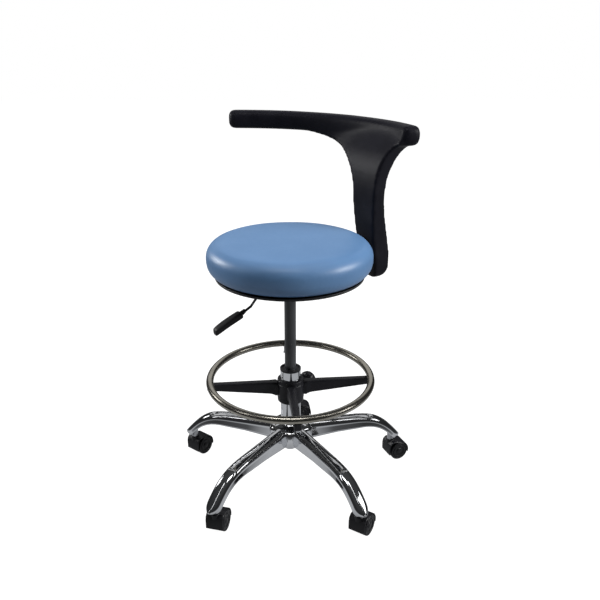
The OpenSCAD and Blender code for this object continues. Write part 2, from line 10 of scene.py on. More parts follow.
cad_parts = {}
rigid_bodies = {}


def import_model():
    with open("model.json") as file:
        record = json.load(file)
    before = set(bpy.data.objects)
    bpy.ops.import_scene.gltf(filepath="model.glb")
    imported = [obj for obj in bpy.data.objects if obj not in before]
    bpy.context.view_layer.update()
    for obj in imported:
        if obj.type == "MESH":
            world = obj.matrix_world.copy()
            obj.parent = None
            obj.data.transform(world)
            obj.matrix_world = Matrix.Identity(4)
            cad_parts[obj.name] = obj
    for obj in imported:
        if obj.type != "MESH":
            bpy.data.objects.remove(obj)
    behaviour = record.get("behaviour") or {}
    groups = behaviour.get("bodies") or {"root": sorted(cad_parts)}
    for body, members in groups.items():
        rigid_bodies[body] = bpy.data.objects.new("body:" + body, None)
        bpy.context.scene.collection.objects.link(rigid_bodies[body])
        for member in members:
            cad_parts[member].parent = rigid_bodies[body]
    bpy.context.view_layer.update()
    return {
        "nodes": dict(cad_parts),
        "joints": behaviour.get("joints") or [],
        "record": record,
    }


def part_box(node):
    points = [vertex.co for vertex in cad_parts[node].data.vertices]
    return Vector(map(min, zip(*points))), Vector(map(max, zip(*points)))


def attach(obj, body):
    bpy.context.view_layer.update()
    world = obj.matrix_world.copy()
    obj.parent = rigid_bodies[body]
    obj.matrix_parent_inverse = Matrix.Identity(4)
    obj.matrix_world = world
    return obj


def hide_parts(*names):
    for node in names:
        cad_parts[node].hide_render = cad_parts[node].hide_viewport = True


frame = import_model()

MM = 0.001
TAU = 2 * math.pi
JOINTS = {j["name"]: j for j in frame["joints"]}
CASTERS = range(1, 6)


# ---- camera ----


def make_camera():
    data = bpy.data.cameras.new("camera")
    data.lens = 39.04
    data.sensor_width = 36.0
    camera = bpy.data.objects.new("camera", data)
    camera.location = (0.0, -1.4304, 1.0609)
    camera.rotation_euler = Euler([math.radians(a) for a in (68.41, 0.0, -0.94)])
    bpy.context.scene.collection.objects.link(camera)
    bpy.context.scene.camera = camera


make_camera()


# ---- mesh helpers ----


def mix(a, b, t):
    return a + (b - a) * t


def smoothstep(low, high, x):
    t = min(1.0, max(0.0, (x - low) / (high - low)))
    return t * t * (3 - 2 * t)


def bezier(p, t):
    """Point at t on a cubic curve through four control points of any dimension."""
    w = ((1 - t) ** 3, 3 * t * (1 - t) ** 2, 3 * t * t * (1 - t), t ** 3)
    return tuple(sum(wi * pi[k] for wi, pi in zip(w, p)) for k in range(len(p[0])))


def add_mesh(name, verts, faces, material, sharp=40):
    """A mesh object from millimetre coordinates, smooth except across edges sharper than the angle."""
    mesh = bpy.data.meshes.new(name)
    mesh.from_pydata([Vector(v) * MM for v in verts], [], faces)
    mesh.validate()
    mesh.shade_smooth()
    mesh.set_sharp_from_angle(angle=math.radians(sharp))
    mesh.materials.append(material)
    obj = bpy.data.objects.new(name, mesh)
    bpy.context.scene.collection.objects.link(obj)
    return obj


def loft(rings, cap=True):
    """Vertices and quads through rings of equally many points, with flat ends."""
    n = len(rings[0])
    verts = [p for ring in rings for p in ring]
    faces = [(k * n + j, k * n + (j + 1) % n, (k + 1) * n + (j + 1) % n, (k + 1) * n + j)
             for k in range(len(rings) - 1) for j in range(n)]
    if cap:
        faces.append(tuple(range(n - 1, -1, -1)))
        faces.append(tuple((len(rings) - 1) * n + j for j in range(n)))
    return verts, faces


def lathe(profile, segments=96, closed=False):
    """Surface of revolution about Z from (radius, height) points; closed joins last to first."""
    rings = [[(r * math.cos(TAU * j / segments), r * math.sin(TAU * j / segments), z)
              for j in range(segments)] for r, z in profile]
    if closed:
        rings.append(rings[0])
    verts, faces = loft(rings, cap=False)
    if closed:
        n = len(verts) - segments
        faces = [tuple(v % n for v in f) for f in faces]
        verts = verts[:n]
    return verts, faces


def joined(parts):
    """Several (vertices, faces) pairs as one."""
    verts, faces = [], []
    for v, f in parts:
        faces += [tuple(i + len(verts) for i in face) for face in f]
        verts += v
    return verts, faces


def placed(part, matrix):
    verts, faces = part
    return [tuple(matrix @ Vector(v)) for v in verts], faces


def squircle(w, h, power=4.0, count=32):
    """Points of a rounded rectangle w by h about the origin."""
    points = []
    for j in range(count):
        c, s = math.cos(TAU * j / count), math.sin(TAU * j / count)
        points.append((w / 2 * math.copysign(abs(c) ** (2 / power), c),
                       h / 2 * math.copysign(abs(s) ** (2 / power), s)))
    return points


def arc(cx, cz, r, start, end, steps):
    """Points on an arc, angles in degrees."""
    return [(cx + r * math.cos(math.radians(mix(start, end, k / steps))),
             cz + r * math.sin(math.radians(mix(start, end, k / steps)))) for k in range(steps + 1)]


def tube(path, radius, count=12):
    """Round tube along a list of points."""
    rings = []
    for k, p in enumerate(path):
        p = Vector(p)
        ahead = Vector(path[min(k + 1, len(path) - 1)]) - Vector(path[max(k - 1, 0)])
        turn = ahead.to_track_quat("Z", "Y")
        rings.append([tuple(p + turn @ Vector((radius * math.cos(TAU * j / count),
                                               radius * math.sin(TAU * j / count), 0)))
                      for j in range(count)])
    return loft(rings)


def turned(degrees, offset=(0, 0, 0)):
    return Matrix.Rotation(math.radians(degrees), 4, "Z") @ Matrix.Translation(offset)


def modify(obj, kind, **settings):
    m = obj.modifiers.new(kind.lower(), kind)
    for key, value in settings.items():
        setattr(m, key, value)
    return m


def apply_modifiers(obj):
    dg = bpy.context.evaluated_depsgraph_get()
    mesh = bpy.data.meshes.new_from_object(obj.evaluated_get(dg))
    obj.modifiers.clear()
    obj.data = mesh


# ---- materials ----


class Paint:
    """A Principled material with procedural detail in the object's own coordinates."""

    def __init__(self, name, roughness=0.5, metallic=0.0, **sockets):
        self.material = bpy.data.materials.new(name)
        self.material.use_nodes = True
        self.tree = self.material.node_tree
        self.shader = self.tree.nodes["Principled BSDF"]
        self.shader.inputs["Roughness"].default_value = roughness
        self.shader.inputs["Metallic"].default_value = metallic
        for socket, value in sockets.items():
            self.shader.inputs[socket].default_value = value
        self.coords = self.tree.nodes.new("ShaderNodeTexCoord").outputs["Object"]

    def node(self, kind, **settings):
        n = self.tree.nodes.new("ShaderNode" + kind)
        for key, value in settings.items():
            setattr(n, key, value)
        return n

    def noise(self, size_mm, detail=3.0, stretch=(1, 1, 1)):
        """Noise whose features are about size_mm across, longer where stretch is above 1."""
        mapping = self.node("Mapping")
        mapping.inputs["Scale"].default_value = [1 / s for s in stretch]
        n = self.node("TexNoise")
        n.inputs["Scale"].default_value = 1 / (size_mm * MM)
        n.inputs["Detail"].default_value = detail
        self.tree.links.new(self.coords, mapping.inputs["Vector"])
        self.tree.links.new(mapping.outputs["Vector"], n.inputs["Vector"])
        return n.outputs["Fac"]

    def cells(self, size_mm):
        n = self.node("TexVoronoi", feature="SMOOTH_F1")
        n.inputs["Scale"].default_value = 1 / (size_mm * MM)
        self.tree.links.new(self.coords, n.inputs["Vector"])
        return n.outputs["Distance"]

    def colour(self, dark, light, factor):
        """Base colour running from dark to light with the factor."""
        ramp = self.node("ValToRGB")
        ramp.color_ramp.elements[0].position = 0.3
        ramp.color_ramp.elements[1].position = 0.7
        ramp.color_ramp.elements[0].color = (*dark, 1)
        ramp.color_ramp.elements[1].color = (*light, 1)
        self.tree.links.new(factor, ramp.inputs["Fac"])
        self.tree.links.new(ramp.outputs["Color"], self.shader.inputs["Base Color"])
        return self

    def rough(self, low, high, factor):
        span = self.node("MapRange")
        span.inputs["To Min"].default_value = low
        span.inputs["To Max"].default_value = high
        self.tree.links.new(factor, span.inputs["Value"])
        self.tree.links.new(span.outputs["Result"], self.shader.inputs["Roughness"])
        return self

    def bump(self, height, depth_mm, strength=1.0):
        """Adds a bump over any that is there already."""
        n = self.node("Bump")
        n.inputs["Strength"].default_value = strength
        n.inputs["Distance"].default_value = depth_mm * MM
        target = self.shader.inputs["Normal"]
        if target.links:
            self.tree.links.new(target.links[0].from_socket, n.inputs["Normal"])
        self.tree.links.new(height, n.inputs["Height"])
        self.tree.links.new(n.outputs["Normal"], target)
        return self


def make_vinyl():
    p = Paint("blue_vinyl", IOR=1.5)
    p.colour((0.110, 0.228, 0.430), (0.122, 0.246, 0.456), p.noise(60))
    p.rough(0.36, 0.46, p.noise(9, 4))
    p.bump(p.cells(1.1), 0.05, 0.5)
    p.bump(p.noise(0.5, 2), 0.03, 0.4)
    return p.bump(p.noise(28, 2), 0.5, 0.12).material


def make_pu():
    p = Paint("black_pu", **{"Specular IOR Level": 0.09})
    p.colour((0.008, 0.008, 0.012), (0.012, 0.012, 0.017), p.noise(35))
    p.rough(0.42, 0.52, p.noise(7, 4))
    p.bump(p.noise(0.8, 3), 0.06, 0.5)
    return p.bump(p.noise(30, 2), 0.6, 0.15).material


def make_chrome():
    p = Paint("chrome", metallic=1.0)
    p.colour((0.74, 0.75, 0.77), (0.80, 0.81, 0.83), p.noise(40))
    p.rough(0.05, 0.09, p.noise(14, 4))
    return p.bump(p.noise(40, 1), 0.3, 0.05).material


def make_nickel():
    p = Paint("ring_nickel", metallic=1.0)
    p.colour((0.46, 0.435, 0.375), (0.56, 0.53, 0.465), p.noise(30))
    p.rough(0.22, 0.28, p.noise(20, 2))
    return p.bump(p.noise(9, 2), 0.03, 0.1).material


def make_plastic(name, tone, low, high, grain=0.7):
    """Black moulded plastic with a fine grain."""
    p = Paint(name, **{"Specular IOR Level": 0.3})
    p.colour([t * 0.8 for t in tone], tone, p.noise(25))
    p.rough(low, high, p.noise(5, 4))
    return p.bump(p.noise(grain, 3), 0.05, 0.5).material


def make_metal(name, tone, low, high, grain=1.5):
    p = Paint(name, metallic=1.0)
    p.colour([t * 0.86 for t in tone], tone, p.noise(12))
    p.rough(low, high, p.noise(4, 4))
    return p.bump(p.noise(grain, 3), 0.03, 0.4).material


def make_painted(name, tone, low, high):
    """Powder-coated steel with a light orange-peel surface."""
    p = Paint(name, **{"Coat Weight": 0.25, "Coat Roughness": 0.25})
    p.colour([t * 0.85 for t in tone], tone, p.noise(20))
    p.rough(low, high, p.noise(6, 4))
    return p.bump(p.noise(1.6, 2), 0.06, 0.5).material


def make_plywood():
    p = Paint("plywood", roughness=0.6)
    p.colour((0.34, 0.22, 0.11), (0.56, 0.42, 0.25), p.noise(3, 6, (12, 1, 1)))
    return p.bump(p.noise(1.2, 4, (10, 1, 1)), 0.15, 0.6).material


def make_foam():
    p = Paint("foam", roughness=0.9)
    p.colour((0.66, 0.56, 0.30), (0.80, 0.72, 0.44), p.noise(4, 5))
    return p.bump(p.cells(1.6), 0.5, 0.8).material


MATERIALS = {
    "blue_vinyl": make_vinyl(),
    "black_pu": make_pu(),
    "chrome": make_chrome(),
    "ring_nickel": make_nickel(),
    "weld_steel": make_metal("weld_steel", (0.52, 0.53, 0.55), 0.22, 0.38),
    "bearing_steel": make_metal("bearing_steel", (0.66, 0.67, 0.69), 0.12, 0.24),
    "caster_steel": make_metal("caster_steel", (0.60, 0.61, 0.63), 0.18, 0.32),
    "zinc_fastener": make_metal("zinc_fastener", (0.60, 0.61, 0.63), 0.22, 0.36),
    "cast_aluminium": make_metal("cast_aluminium", (0.66, 0.67, 0.68), 0.3, 0.45, 3.0),
    "stage_paint": make_painted("stage_paint", (0.052, 0.055, 0.060), 0.30, 0.40),
    "black_enamel": make_painted("black_enamel", (0.018, 0.018, 0.020), 0.30, 0.42),
    "black_oxide": make_painted("black_oxide", (0.020, 0.020, 0.022), 0.32, 0.44),
    "black_nylon": make_plastic("black_nylon", (0.014, 0.014, 0.018), 0.34, 0.48),
    "caster_nylon": make_plastic("caster_nylon", (0.010, 0.010, 0.013), 0.34, 0.48),
    "wheel_nylon": make_plastic("wheel_nylon", (0.011, 0.011, 0.013), 0.36, 0.50),
    "pan_plastic": make_plastic("pan_plastic", (0.014, 0.014, 0.016), 0.38, 0.50, 1.2),
    "grip_plastic": make_plastic("grip_plastic", (0.010, 0.010, 0.011), 0.40, 0.52),
    "slip_plastic": make_plastic("slip_plastic", (0.70, 0.70, 0.66), 0.35, 0.45),
    "piston_rubber": make_plastic("piston_rubber", (0.02, 0.02, 0.02), 0.6, 0.7),
    "plywood": make_plywood(),
    "foam": make_foam(),
}

for subpart in frame["record"]["subparts"]:
    mesh = frame["nodes"][subpart["node"]].data
    mesh.materials.clear()
    mesh.materials.append(MATERIALS[subpart["material_slot"]])
    mesh.polygons.foreach_set("material_index", [0] * len(mesh.polygons))


def add_piece(name, part, slot_name, body, *nodes, sharp=40):
    """A new piece made of (vertices, faces) in millimetres, in its slot's material, riding a body."""
    obj = add_mesh(name, *part, MATERIALS[slot_name], sharp)
    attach(obj, body)
    if nodes:
        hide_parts(*nodes)
    return obj


# ---- seat cushion ----

ROLL = 33.0  # radius of the cushion's rolled edge, before the slack is taken off
SLACK = 0.5  # room left at the edge for the cushion to swell into
SEAT_RISE = 2.0  # height of the cushion's shoulder above the CAD seat
CROWN = 1.0  # further height at the middle
SWELL = 1.5  # furthest that the cloth moves any point
CLOTH_FRAMES = 20
EVENING_ROUNDS = 60


def make_cushion():
    low, high = (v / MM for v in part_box("seat_cover"))
    flat, top = (high.x - low.x) / 2 - ROLL, high.z + SEAT_RISE
    r = ROLL - SLACK
    profile = ([(0.01, low.z + 0.5), (flat * 0.5, low.z + 0.5)]
               + arc(flat, low.z + ROLL, r - 0.5, -90, 0, 8)
               + arc(flat, top - r, r, 0, 88, 8)
               + [(flat * 0.5, top + 0.8 * CROWN), (0.01, top + CROWN)])
    obj = add_piece("seat_cushion", lathe(profile, 128), "blue_vinyl", "seat",
                    "seat_cover", "seat_foam", sharp=180)
    modify(obj, "REMESH", mode="VOXEL", voxel_size=5 * MM, use_smooth_shade=True)
    apply_modifiers(obj)
    inflate(obj, pinned_below=(low.z + 12) * MM, cap=SWELL * MM)
    modify(obj, "SMOOTH", factor=0.5, iterations=6)
    modify(obj, "SUBSURF", levels=1, render_levels=1)
    apply_modifiers(obj)


def inflate(obj, pinned_below, cap):
    """Swells obj under pressure as tight cloth held at its underside, evenly and by at most cap."""
    rest = [v.co.copy() for v in obj.data.vertices]
    held = obj.vertex_groups.new(name="held")
    held.add([i for i, co in enumerate(rest) if co.z < pinned_below], 1.0, "REPLACE")
    cloth = modify(obj, "CLOTH").settings
    cloth.quality = 6
    cloth.use_pressure = True
    cloth.uniform_pressure_force = 4.0
    cloth.tension_stiffness = cloth.compression_stiffness = 30.0
    cloth.shear_stiffness = 20.0
    cloth.bending_stiffness = 2.0
    cloth.vertex_group_mass = "held"
    cloth.effector_weights.gravity = 0.0
    scene = bpy.context.scene
    for number in range(1, CLOTH_FRAMES + 1):
        scene.frame_set(number)
    dg = bpy.context.evaluated_depsgraph_get()
    swollen = [v.co.copy() for v in obj.evaluated_get(dg).data.vertices]
    obj.modifiers.clear()
    steps = np.array([after - before for before, after in zip(rest, swollen)])
    steps *= np.minimum(1.0, cap / np.maximum(np.linalg.norm(steps, axis=1), 1e-9))[:, None]
    edges = np.array([e.vertices[:] for e in obj.data.edges])
    for _ in range(EVENING_ROUNDS):
        total, count = steps.copy(), np.ones(len(steps))
        for a, b in (edges.T, edges.T[::-1]):
            np.add.at(total, a, steps[b])
            np.add.at(count, a, 1)
        steps = total / count[:, None]
    for v, before, step in zip(obj.data.vertices, rest, steps):
        v.co = before + Vector(step)
    scene.frame_set(1)


make_cushion()


# ---- swing arm ----


def make_arm():
    """T-shaped arm of moulded foam: a curved bar on a leaning post, blended where they meet."""
    obj = bpy.data.objects.new("arm_skin", frame["nodes"]["arm_pad"].data.copy())
    bpy.context.scene.collection.objects.link(obj)
    modify(obj, "REMESH", mode="VOXEL", voxel_size=3 * MM, use_smooth_shade=True)
    modify(obj, "SMOOTH", factor=0.5, iterations=20)
    modify(obj, "DISPLACE", strength=1.3 * MM, mid_level=0.0)
    modify(obj, "SUBSURF", levels=1, render_levels=1)
    apply_modifiers(obj)
    obj.data.materials.clear()
    obj.data.materials.append(MATERIALS["black_pu"])
    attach(obj, "swing_arm")
    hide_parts("arm_pad")


make_arm()


# ---- star base ----

# side outline of an arm as (radius, height): straight from the hub, then curving down to the caster
ARM_TOP = ((42, 157), (120, 152.5)), ((175, 149), (235, 146), (262, 120), (302, 71))
ARM_LOW = ((42, 116), (120, 121)), ((180, 121), (226, 123), (254, 110), (288, 63))
ARM_HALF = 16.7
ARM_TAPER, ARM_END = 285.0, 302.0  # radii where the tip starts to round in, and where it ends
TIP_POWER = 2.6
STRAIGHT_SHARE, BEND_SHARE = 0.3, 0.42  # where along an arm the straight stops and the curve starts


def arm_edge(edge, t):
    """Radius and height on an outline at t, from 0 at the hub to 1 at the tip."""
    (a, b), curve = edge
    if t < STRAIGHT_SHARE:
        return tuple(mix(a[k], b[k], t / STRAIGHT_SHARE) for k in (0, 1))
    if t < BEND_SHARE:
        t = (t - STRAIGHT_SHARE) / (BEND_SHARE - STRAIGHT_SHARE)
        return tuple(mix(b[k], curve[0][k], t) for k in (0, 1))
    return bezier(curve, (t - BEND_SHARE) / (1 - BEND_SHARE))


def arm_half(r):
    """Half width of an arm, rounding in at its tip."""
    past = max(0.0, (r - ARM_TAPER) / (ARM_END - ARM_TAPER))
    return ARM_HALF * max(0.0, 1 - past ** TIP_POWER) ** (1 / TIP_POWER)


def groove(r, y):
    """Depth of the recess pressed into an arm's top, which widens outwards and ends in a step."""
    half = mix(1.0, 9.5, smoothstep(70, 205, r))
    depth = 4.5 * smoothstep(75, 130, r) * (1 - smoothstep(216, 223, r))
    return depth * (1 - smoothstep(half - 1.5, half + 2.0, abs(y)))


def channel_section(half, height):
    """Points over an inverted channel with rounded shoulders: distance across, and height."""
    corner = min(13.0, height * 0.5, half * 0.8)
    draft = 0.14 * corner
    flat, crown = half - draft - corner, 0.6
    side = [(half + draft * (0.5 - 1.5 * k / 6), mix(0, height - corner, k / 6)) for k in range(6)]
    shoulder = arc(flat, height - corner, corner, 0, 84, 18)
    top = [(mix(flat, -flat, k / 12), height) for k in range(1, 12)]
    top = [(y, h + crown * (1 - (y / max(half, 0.1)) ** 2)) for y, h in top]
    right = side + shoulder
    return right + top + [(-y, h) for y, h in reversed(right)]


def make_arm_shell(name, angle, node):
    stations = 170
    rings = []
    for k in range(stations + 1):
        t = 1 - (1 - k / stations) ** 1.15
        top, low = Vector(arm_edge(ARM_TOP, t)), Vector(arm_edge(ARM_LOW, t))
        up = (top - low).normalized()
        ring = []
        for y, h in channel_section(arm_half(top.x), (top - low).length):
            point = low + up * (h - groove(top.x, y) * smoothstep(5, 12, h))
            ring.append((point.x, y, point.y))
        rings.append(ring)
    n = len(rings[0])
    verts = [p for ring in rings for p in ring]
    faces = [(k * n + j, (k + 1) * n + j, (k + 1) * n + j + 1, k * n + j + 1)
             for k in range(stations) for j in range(n - 1)]
    lip = [ring[0] for ring in rings[:-1]] + [ring[-1] for ring in reversed(rings)]
    obj = add_piece(name, placed((verts, faces), turned(angle)), "chrome", "base", node, sharp=60)
    modify(obj, "SOLIDIFY", thickness=2.2 * MM, offset=-1)
    apply_modifiers(obj)
    add_piece(name + "_lip", placed(tube(lip, 1.4), turned(angle)), "chrome", "base", sharp=80)


def make_hub(first_angle):
    """Five-sided collar between the arms, its top drawn in to the column."""
    count, side = 120, 360 / len(CASTERS)

    def ring_at(z, flat, corner):
        points = []
        for j in range(count):
            a = TAU * j / count
            off = (math.degrees(a) - first_angle) % side - side / 2
            r = min(corner, flat / math.cos(math.radians(side / 2 - abs(off))))
            points.append((r * math.cos(a), r * math.sin(a), z))
        return points

    rings = [ring_at(z, flat, corner) for z, flat, corner in (
        (114, 25.2, 26), (114, 45, 52), (115.5, 47, 54), (117.5, 47.6, 55), (150, 47.6, 55),
        (154.5, 46.8, 53), (158.5, 44, 48), (161.5, 39, 41), (163.8, 33, 34), (166.5, 28.6, 28.8),
        (169.5, 26.6, 26.7), (169.5, 25.2, 25.3))]
    add_piece("hub_collar", loft(rings, cap=False), "chrome", "base", "base_hub", sharp=50)


def make_base():
    for i in CASTERS:
        stem = Vector(JOINTS[f"caster_{i}_swivel"]["pos_m"])
        angle = math.degrees(math.atan2(stem.y, stem.x))
        make_arm_shell(f"arm_shell_{i}", angle, f"base_arm_{i}")
        if i == 1:
            make_hub(angle)


make_base()


# ---- casters ----


def hood_part():
    """Hood over both wheels and the web between them, stem at the origin, trailing along +X."""
    trail, wheel_z, half_w = 19.0, 25.0, 21.0
    outer = ([(-11, 19), (-11.5, 40), (-9.5, 50), (-3, 56), (4, 57), (13, 56)]
             + arc(trail, wheel_z, 28.5, 52, -14, 10))
    inner = ([(-8.8, 19), (-9.2, 38), (-7.5, 47), (-2, 53), (4, 54)]
             + arc(trail, wheel_z, 26.4, 62, -14, 10))
    ring = outer + inner[::-1]
    rings = []
    for y, inset in ((-half_w, 0.9), (-half_w + 0.9, 0), (half_w - 0.9, 0), (half_w, 0.9)):
        centre = Vector((trail / 2, 36))
        ring_now = []
        for x, z in ring:
            p = Vector((x, z))
            step = (centre - p).normalized() * inset if (x, z) in outer else Vector((0, 0))
            ring_now.append((p.x + step.x, y, p.y + step.y))
        rings.append(ring_now)
    shell = loft(rings)
    web_outline = ([(-9, 20), (-9, 40), (-3, 54), (14, 54)]
                   + arc(trail, wheel_z, 27, 50, -90, 12) + [(0, 10)])
    web = loft([[(x, y, z) for x, z in web_outline] for y in (-3, 3)])
    boss = lathe([(5.5, 46), (11, 46), (11, 57.5), (10, 58.5), (5.5, 58.5)], 48)
    return joined([shell, web, boss])


def wheel_part():
    """One wheel about Z, its outer face up, from the web out to the face."""
    r, near, far = 25.0, 3.5, 21.0
    profile = ([(3.1, near), (r - 3, near)] + arc(r - 3, near + 3, 3, -90, 0, 5)
               + arc(r - 2.5, far - 2.5, 2.5, 0, 90, 5)
               + [(21.5, far), (20.5, far - 1.2), (17.5, far - 1.4), (16.8, far - 0.2), (14.6, far),
                  (13.8, far - 1.6), (8.5, far - 2.0), (7.2, far - 0.6), (6, far - 0.1), (0.01, far)])
    return lathe(profile, 72)


def make_casters():
    hood, wheel = hood_part(), wheel_part()
    for i in CASTERS:
        stem = Vector(JOINTS[f"caster_{i}_swivel"]["pos_m"]) / MM
        axle = Vector(JOINTS[f"caster_{i}_left_roll"]["pos_m"]) / MM
        ahead = axle - stem
        turn = math.atan2(ahead.y, ahead.x)
        spin = Matrix.Rotation(turn, 4, "Z")
        at_stem = Matrix.Translation((stem.x, stem.y, 0)) @ spin
        add_piece(f"caster_hood_{i}", placed(hood, at_stem), "caster_nylon", f"caster_{i}",
                  f"caster_{i}_hood", sharp=32)
        for side, quarter in (("left", -90), ("right", 90)):
            at_axle = (Matrix.Translation(axle) @ spin
                       @ Matrix.Rotation(math.radians(quarter), 4, "X"))
            add_piece(f"wheel_{i}_{side}", placed(wheel, at_axle), "wheel_nylon",
                      f"caster_{i}_{side}_wheel", f"caster_{i}_wheel_{side}", sharp=32)


make_casters()


# ---- foot ring ----

RING_LOW, RING_HIGH = (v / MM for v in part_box("ring_tube"))
RING_TUBE_R = (RING_HIGH.z - RING_LOW.z) / 2
RING_R = (RING_HIGH.x - RING_LOW.x) / 2 - RING_TUBE_R
RING_Z = (RING_LOW.z + RING_HIGH.z) / 2
SPOKE_TURNS = (4.5, 91.5, 184.5, 274.5)  # the rear one is 3 degrees off the CAD's regular cross


def spoke_part():
    """Tapering spoke along +X whose end cups the ring from below."""
    rings = []
    inner, outer = 29.0, RING_R + 7.5
    for k in range(49):
        x = mix(inner, outer, (k / 48) ** 0.8)
        t = (x - inner) / (outer - inner)
        width = mix(20.0, 15.0, t) + 6 * (1 - smoothstep(0, 0.14, t)) + 3 * smoothstep(0.88, 0.95, t)
        low = mix(246.5, 264.5, t) - 5 * (1 - smoothstep(0, 0.12, t))
        top = RING_Z - 8.0
        gap = RING_TUBE_R + 0.25
        if abs(x - RING_R) < gap:
            top = min(top, RING_Z - math.sqrt(gap ** 2 - (x - RING_R) ** 2))
        end = 0.8 if k in (0, 48) else 1.0
        ring = [(x, y * end, (low + top) / 2 + z * end)
                for y, z in squircle(width, top - low, 7.0, 36)]
        rings.append(ring)
    return loft(rings)


def make_ring_hub():
    low, high = RING_Z - 61.0, RING_Z - 1.0
    barrel = ([(27.3, low)] + arc(30.6, low + 1.8, 1.8, -90, 0, 4)
              + [(32.4, low + 9), (33.2, low + 10), (33.2, high - 12), (32.4, high - 11)]
              + arc(30.6, high - 1.8, 1.8, 0, 90, 4) + [(27.3, high)])
    parts = [lathe(barrel, 96, closed=True)]
    parts += [placed(spoke_part(), turned(turn)) for turn in SPOKE_TURNS]
    knob = JOINTS["knob_turn"]
    direction = math.degrees(math.atan2(knob["axis"][1], knob["axis"][0]))
    boss = lathe([(5.2, 27), (13.5, 27), (13.0, 36), (12, 43.5), (11, 45), (5.2, 45)], 48, closed=True)
    along = Matrix.Rotation(math.radians(90), 4, "Y")
    at_knob = turned(direction, (0, 0, knob["pos_m"][2] / MM)) @ along
    parts.append(placed(boss, at_knob))
    add_piece("ring_spider", joined(parts), "black_nylon", "foot_ring", "ring_hub", sharp=35)
    make_knob(at_knob)


def make_knob(at_knob):
    """Rounded knob with 18 shallow flutes, standing off the hub's boss."""
    rings = []
    outline = [(0.01, 0), (0.5, 0), (0.54, 1), (0.54, 5.5), (0.74, 5.8), (0.88, 7), (0.96, 9), (1.0, 12),
               (1.0, 18), (0.97, 22), (0.91, 25), (0.81, 27.5), (0.68, 29.2), (0.52, 30.2), (0.30, 30.7),
               (0.01, 30.8)]
    for share, height in outline:
        ring = []
        for j in range(144):
            a = TAU * j / 144
            lobe = 22.2 + 0.5 * math.cos(18 * a) * smoothstep(0.7, 0.9, share)
            ring.append((share * lobe * math.cos(a), share * lobe * math.sin(a), height))
        rings.append(ring)
    at_face = at_knob @ Matrix.Translation((0, 0, 47))
    add_piece("knob_body", placed(loft(rings), at_face), "black_nylon", "knob", "clamp_knob", sharp=35)


make_ring_hub()


# ---- parts under the seat ----

LEVER_AXIS = Vector(JOINTS["lever_lift"]["axis"])
LEVER_PIN = Vector(JOINTS["lever_lift"]["pos_m"]) / MM
LEVER_TURN = math.degrees(math.atan2(-LEVER_AXIS.x, LEVER_AXIS.y)) + 180
GRIP_REACH, GRIP_DROP, GRIP_SLOPE = 130, 53, 30
PAN_INSET = 4


def make_grip():
    """Paddle grip with a tapering neck, along +X of its own frame before it is placed."""
    rings = []
    stations = ((-15, 7, 7, 0), (-12, 8.4, 8.4, 0), (-3, 9.6, 9.4, 0), (-1.2, 11, 10, 0), (-1, 16, 13, 0),
                (1, 19.5, 16.2, 0), (6, 20, 16.6, 0.2), (20, 21, 16.2, 0.9), (36, 22, 15.6, 1.2),
                (50, 22, 15, 1.0), (62, 21, 14.4, 0.2), (69, 19.5, 13.6, -0.4), (71.5, 18.2, 12.8, -0.6),
                (72.6, 15, 10.4, -0.7), (72.8, 4, 3, -0.7))
    for x, width, thick, lift in stations:
        slant, bend = 0.5 * smoothstep(25, 72, x), 0.1 * max(0, x - 4)
        rings.append([(x - slant * z, y, z + lift + bend) for y, z in squircle(width, thick, 4.5, 32)])
    start = turned(LEVER_TURN, (GRIP_REACH, 0, LEVER_PIN.z - GRIP_DROP))
    slope = Matrix.Rotation(math.radians(GRIP_SLOPE), 4, "Y")
    obj = add_piece("lever_paddle", placed(loft(rings), start @ slope), "grip_plastic", "lever",
                    "lever_grip", sharp=60)
    modify(obj, "SUBSURF", levels=1, render_levels=1)
    apply_modifiers(obj)


def make_pan():
    low, high = (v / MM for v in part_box("seat_pan"))
    r, inner = (high.x - low.x) / 2 - PAN_INSET, 95.2
    profile = ([(inner, low.z), (118, low.z), (119.5, low.z + 0.9), (122.5, low.z + 0.9), (124, low.z),
                (158, low.z), (159.5, low.z + 0.9), (162.5, low.z + 0.9), (164, low.z)]
               + arc(r - 2.5, low.z + 2.5, 2.5, -90, 0, 5)
               + [(r + 0.4, high.z - 0.6), (r, high.z), (r - 2.5, high.z), (r - 3.2, low.z + 3.4),
                  (r - 5, low.z + 2.6), (inner, low.z + 2.6)])
    add_piece("pan_shell", lathe(profile, 160, closed=True), "pan_plastic", "seat", "seat_pan", sharp=35)
    head = lathe([(0.01, -2.2), (1.6, -2.1), (3.0, -1.7), (4.1, -0.9), (4.5, 0), (4.5, 0.3)], 24)
    screws = [placed(head, turned(20 + 60 * k, (141, 0, low.z))) for k in range(6)]
    add_piece("pan_screws", joined(screws), "zinc_fastener", "seat", sharp=50)


def make_housing():
    low, high = (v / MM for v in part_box("mechanism_housing"))
    top = high.z
    levels = ((low.z + 9, 70, 46), (low.z + 9.3, 76, 52), (low.z + 11, 80, 56), (low.z + 14, 81.5, 57.5),
              (top - 7, 84, 60), (top - 4, 85.5, 61.5), (top - 2.8, 90, 66), (top - 2.5, 93, 69),
              (top - 0.1, 93, 69))
    rings = [[(x, y, z) for x, y in squircle(length, width, 9.0, 64)] for z, length, width in levels]
    socket = lathe([(14.2, low.z), (17, low.z), (18.2, low.z + 1), (18.4, low.z + 8),
                    (20.5, low.z + 9.2)], 64)
    add_piece("mechanism_cover", placed(joined([loft(rings), socket]), turned(LEVER_TURN)),
              "black_enamel", "seat", "mechanism_housing", sharp=35)


make_grip()
make_pan()
make_housing()


# ---- setting ----

# brightness of the studio by the height of the direction: -1 straight down, 1 straight up
STUDIO_TONES = ((-1.0, 0.30), (-0.55, 0.44), (-0.40, 0.44), (-0.31, 0.08), (-0.15, 0.03), (-0.05, 0.03),
                (0.2, 0.02), (1.0, 0.06))


